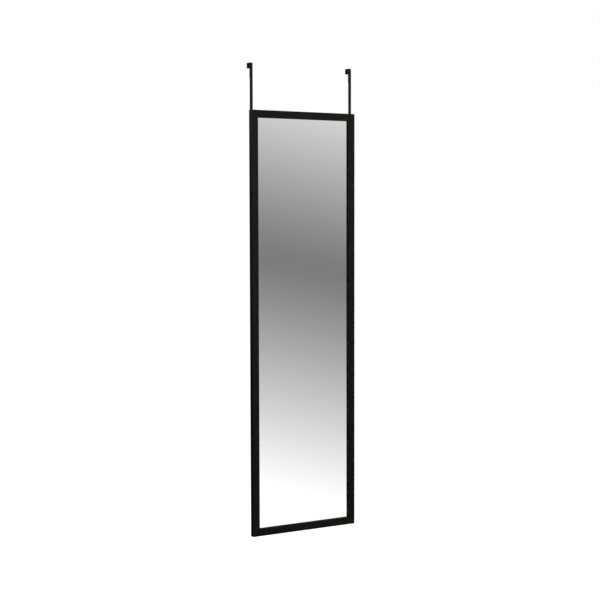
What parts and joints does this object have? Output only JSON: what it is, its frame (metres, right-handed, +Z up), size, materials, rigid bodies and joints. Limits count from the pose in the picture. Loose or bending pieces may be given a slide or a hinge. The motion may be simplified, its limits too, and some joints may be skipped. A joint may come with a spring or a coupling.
{
  "type": "over the door mirror",
  "caption": "Slim full-length mirror in a flat black mitred frame, hung over a rebated door by flat steel hook straps that slide up and down to set its height.",
  "frame": {"origin": "on the edge where the door's face meets its top, midway between the two hooks", "axes": "+X to the right of someone facing the mirror, +Z up, the mirror faces -Y and the door is on the +Y side"},
  "size_m": [0.35, 0.0346, 1.3865],
  "materials": {
    "frame_black": "satin black moulding",
    "mirror": "silvered float glass",
    "safety_film": "clear adhesive film, milky",
    "foam_sheet": "white closed-cell foam",
    "hardboard": "smooth brown hardboard",
    "bright_steel": "zinc plated",
    "strap_black": "satin black powder coat",
    "screw_black": "black passivated",
    "pad_foam": "black foam",
    "bumper_rubber": "dark soft rubber"
  },
  "bodies": {
    "mirror": {"frame_top_rail": "frame_black", "frame_bottom_rail": "frame_black", "frame_left_stile": "frame_black", "frame_right_stile": "frame_black", "mirror_glass": "mirror", "glass_safety_film": "safety_film", "foam_sheet": "foam_sheet", "back_panel": "hardboard", "retaining_points": "bright_steel", "corner_wedges": "bright_steel", "left_strap_screws": "screw_black", "right_strap_screws": "screw_black", "left_bumper": "bumper_rubber", "right_bumper": "bumper_rubber"},
    "left_strap": {"left_hanging_strap": "strap_black", "left_hook_pad": "pad_foam"},
    "right_strap": {"right_hanging_strap": "strap_black", "right_hook_pad": "pad_foam"}
  },
  "joints": [
    {"name": "left_strap_slide", "type": "slide", "parent": "mirror", "child": "left_strap", "axis": [0, 0, 1], "range_m": [-0.03, 0.03]},
    {"name": "right_strap_slide", "type": "slide", "parent": "mirror", "child": "right_strap", "axis": [0, 0, 1], "range_m": [-0.03, 0.03]}
  ]
}
